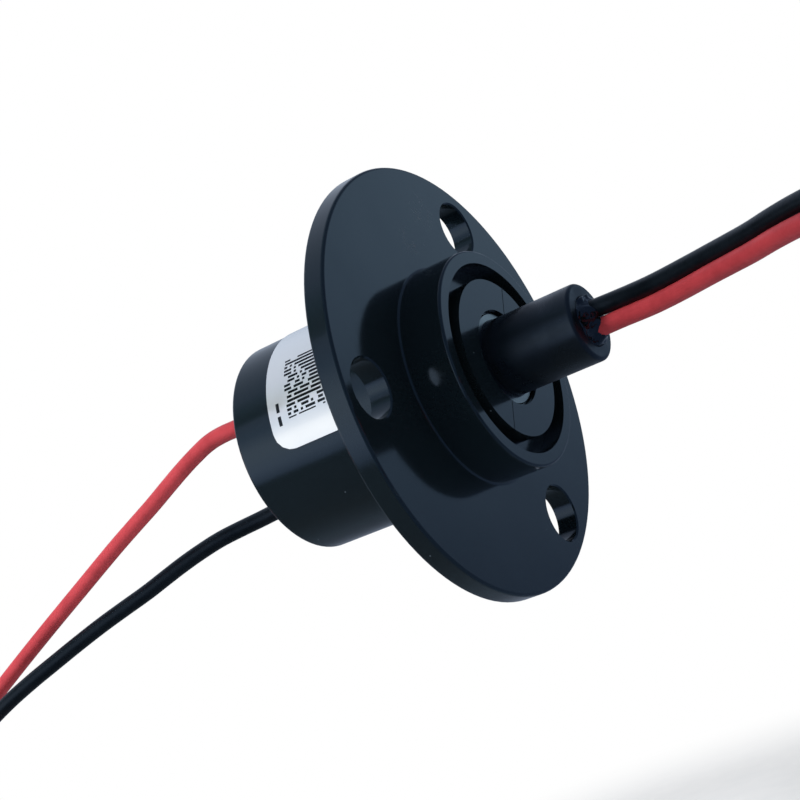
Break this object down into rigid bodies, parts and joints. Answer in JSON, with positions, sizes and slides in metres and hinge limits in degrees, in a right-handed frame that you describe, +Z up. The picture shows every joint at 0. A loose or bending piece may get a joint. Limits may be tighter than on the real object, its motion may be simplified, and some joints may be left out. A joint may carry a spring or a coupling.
{
  "type": "slip ring",
  "caption": "Capsule slip ring with a flanged round housing, a hollow rotor tube that turns in ball bearings, and a pair of leads at each end.",
  "frame": {"origin": "on the rotation axis, in the plane of the flange's rear mounting face", "axes": "+X along the rotation axis towards the rotor tube, +Z up, +Y to the right-hand side seen against +X"},
  "size_m": [0.1664, 0.056, 0.0735],
  "materials": {
    "black_plastic": "black moulded plastic with a polished surface",
    "holder_plastic": "black moulded plastic, slightly duller than the housing",
    "shaft_plastic": "satin black moulded plastic",
    "black_epoxy": "glossy black potting epoxy with an uneven surface",
    "resin": "hard casting resin",
    "silver_label": "satin silver film with a printed block of plain shapes",
    "circuit_board": "glass-fibre board",
    "gold_alloy": "gold-plated contact alloy",
    "bearing_steel": "ground and polished bearing steel",
    "cage_brass": "pressed brass",
    "spacer_plastic": "insulating engineering plastic",
    "collar_metal": "turned aluminium",
    "red_insulation": "satin wire insulation",
    "black_insulation": "satin wire insulation",
    "tinned_copper": "tinned copper strands",
    "tie_plastic": "plain flat band"
  },
  "bodies": {
    "stator": {"housing": "black_plastic", "rear_cap": "black_plastic", "rear_potting": "resin", "label": "silver_label", "brush_holder_left": "holder_plastic", "brush_holder_right": "holder_plastic", "brush_board_red": "circuit_board", "brush_board_black": "circuit_board", "brushes_red": "gold_alloy", "brushes_black": "gold_alloy", "stator_inner_lead_red": "red_insulation", "stator_inner_lead_black": "black_insulation", "front_bearing_outer_race": "bearing_steel", "front_bearing_shields": "bearing_steel", "rear_bearing_outer_race": "bearing_steel", "stator_lead_red": "red_insulation", "stator_lead_black": "black_insulation", "stator_coil_red": "red_insulation", "stator_coil_black": "black_insulation", "stator_tip_red": "tinned_copper", "stator_tip_black": "tinned_copper", "stator_coil_tie": "tie_plastic"},
    "rotor": {"front_bearing_inner_race": "bearing_steel", "rear_bearing_inner_race": "bearing_steel", "rotor_shaft": "shaft_plastic", "front_spacer": "spacer_plastic", "middle_spacer": "spacer_plastic", "rear_spacer": "spacer_plastic", "ring_collar": "collar_metal", "contact_ring_red": "gold_alloy", "contact_ring_black": "gold_alloy", "rotor_inner_lead_red": "red_insulation", "rotor_inner_lead_black": "black_insulation", "tube_epoxy": "black_epoxy", "rotor_lead_red": "red_insulation", "rotor_lead_black": "black_insulation", "rotor_coil_red": "red_insulation", "rotor_coil_black": "black_insulation", "rotor_tip_red": "tinned_copper", "rotor_tip_black": "tinned_copper", "rotor_coil_tie": "tie_plastic"},
    "front_ball_set": {"front_bearing_balls": "bearing_steel", "front_bearing_cage": "cage_brass"},
    "rear_ball_set": {"rear_bearing_balls": "bearing_steel", "rear_bearing_cage": "cage_brass"}
  },
  "joints": [
    {"name": "rotor_spin", "type": "hinge", "parent": "stator", "child": "rotor", "pos_m": [0, 0, 0], "axis": [1, 0, 0], "continuous": true},
    {"name": "front_ball_spin", "type": "hinge", "parent": "stator", "child": "front_ball_set", "pos_m": [0, 0, 0], "axis": [1, 0, 0], "continuous": true},
    {"name": "rear_ball_spin", "type": "hinge", "parent": "stator", "child": "rear_ball_set", "pos_m": [0, 0, 0], "axis": [1, 0, 0], "continuous": true}
  ],
  "couplings": [
    {"joint": "front_ball_spin", "follows": "rotor_spin", "ratio": 0.435},
    {"joint": "rear_ball_spin", "follows": "rotor_spin", "ratio": 0.425}
  ]
}
